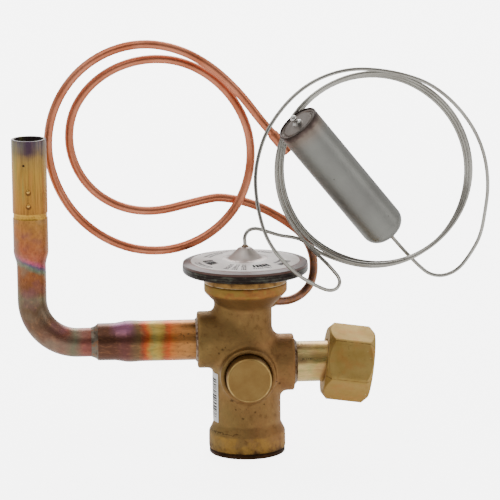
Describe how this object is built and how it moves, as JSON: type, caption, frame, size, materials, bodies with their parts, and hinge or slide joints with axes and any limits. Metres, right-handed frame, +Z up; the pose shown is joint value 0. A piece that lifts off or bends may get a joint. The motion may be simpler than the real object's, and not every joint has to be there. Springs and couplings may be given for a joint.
{
  "type": "expansion valve",
  "caption": "Refrigeration expansion valve: brass body on a closed base, union nut inlet, upturned sweat outlet, coiled equaliser tube, and remote bulb on a coiled capillary.",
  "frame": {"origin": "centre of the flat round base, on the valve axis", "axes": "+Z up along the valve axis towards the diaphragm head, +X along the inlet towards the union nut, -X towards the outlet elbow, -Y towards the round check plug"},
  "size_m": [0.26, 0.0684, 0.227],
  "materials": {
    "forged_brass": "satin",
    "plug_brass": "satin",
    "nut_brass": "satin",
    "copper": "satin",
    "copper_heat": "satin",
    "coupling_brass": "satin",
    "tube_copper": "satin",
    "braze": "satin",
    "stainless": "satin",
    "head_steel": "satin",
    "bulb_metal": "satin",
    "spring_steel": "satin",
    "seal": "matte",
    "gasket": "satin",
    "label_film": "satin",
    "bar_film": "matte"
  },
  "bodies": {
    "valve": {"valve_body": "forged_brass", "bottom_plug": "plug_brass", "bottom_gasket": "gasket", "spring_seat": "plug_brass", "superheat_spring": "spring_steel", "seat_insert": "stainless", "rod_seal_front": "seal", "rod_seal_rear": "seal", "head_lower_cup": "head_steel", "diaphragm": "stainless", "head_upper_cover": "stainless", "head_label": "label_film", "head_ferrule": "braze", "front_plug": "plug_brass", "front_gasket": "gasket", "inlet_stub": "copper", "inlet_braze_ring": "braze", "union_tail": "nut_brass", "outlet_stub": "copper_heat", "outlet_braze_ring": "braze", "reducer_braze": "braze", "outlet_elbow": "copper_heat", "coupling_braze": "braze", "outlet_coupling": "coupling_brass", "equaliser_tube": "tube_copper", "equaliser_braze": "braze", "capillary_tube": "bulb_metal", "bulb_shell": "bulb_metal", "bulb_end_cap": "bulb_metal", "bulb_fill_tip": "bulb_metal", "bulb_ferrule": "braze", "bar_label": "bar_film"},
    "valve_train": {"push_rod_front": "stainless", "push_rod_rear": "stainless", "buffer_plate": "plug_brass", "valve_pin": "stainless", "pin_carrier": "plug_brass"},
    "check": {"check_disc": "stainless"},
    "nut": {"union_nut": "nut_brass"}
  },
  "joints": [
    {"name": "valve_slide", "type": "slide", "parent": "valve", "child": "valve_train", "axis": [0, 0, -1], "range_m": [0, 0.001], "stiffness_N_per_m": 2000, "springref_m": -0.004, "deforming": ["superheat_spring"]},
    {"name": "check_slide", "type": "slide", "parent": "valve", "child": "check", "axis": [0, -1, 0], "range_m": [0, 0.002]},
    {"name": "nut_turn", "type": "hinge", "parent": "valve", "child": "nut", "pos_m": [0.0556, 0, 0.0482], "axis": [0.9903, 0, -0.1392], "continuous": true}
  ]
}
